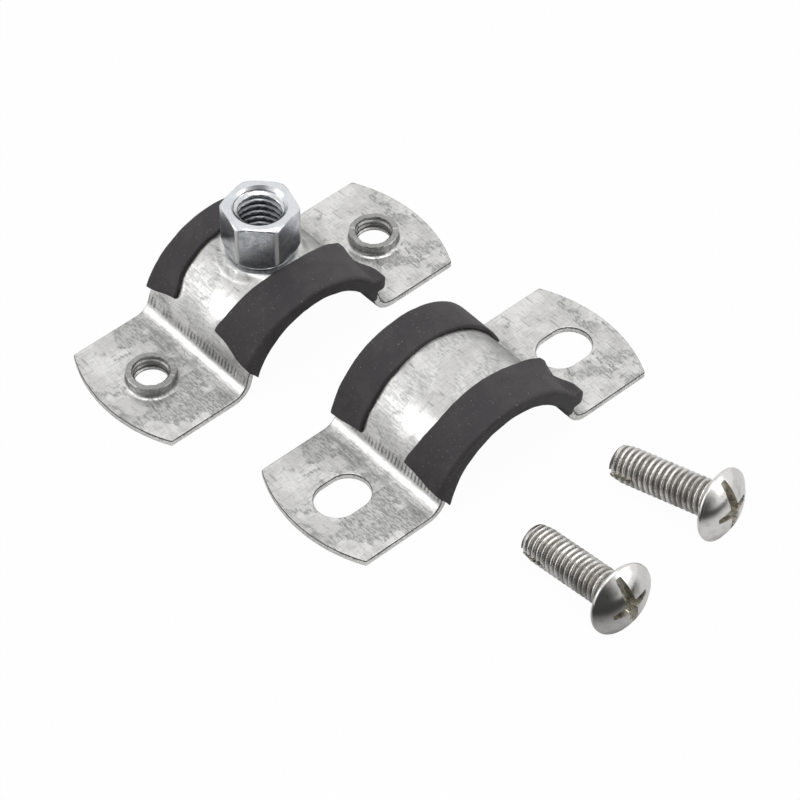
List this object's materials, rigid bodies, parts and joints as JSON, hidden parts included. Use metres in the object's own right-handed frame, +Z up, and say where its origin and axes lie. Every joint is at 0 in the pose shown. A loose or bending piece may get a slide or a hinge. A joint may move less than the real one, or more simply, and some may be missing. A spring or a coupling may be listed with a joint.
{
  "type": "pipe strap clamp",
  "caption": "Split, rubber-lined steel pipe clamp, taken apart: a half with a threaded boss and drawn collars, a slotted half, and their clamping screws.",
  "frame": {"origin": "middle of the layout's bounding box, on the plane that every piece lies on", "axes": "+Z up from that plane, +Y along the pipe from the slotted half to the boss half, +X along the strap"},
  "size_m": [0.0698, 0.0974, 0.0228],
  "materials": {
    "zinc_strap": "zinc-coated sheet with a fine grain and scuffs",
    "bright_zinc": "bright zinc plate, slightly blue",
    "screw_steel": "polished plate on a domed head, warm grey thread",
    "rubber_lining": "matt charcoal rubber with fine pale specks"
  },
  "bodies": {
    "root": {"strap_boss_half": "zinc_strap", "strap_slotted_half": "zinc_strap", "lining_boss_half": "rubber_lining", "lining_slotted_half": "rubber_lining", "boss_nut": "bright_zinc", "clamp_screw_1": "screw_steel", "clamp_screw_2": "screw_steel"}
  },
  "joints": []
}
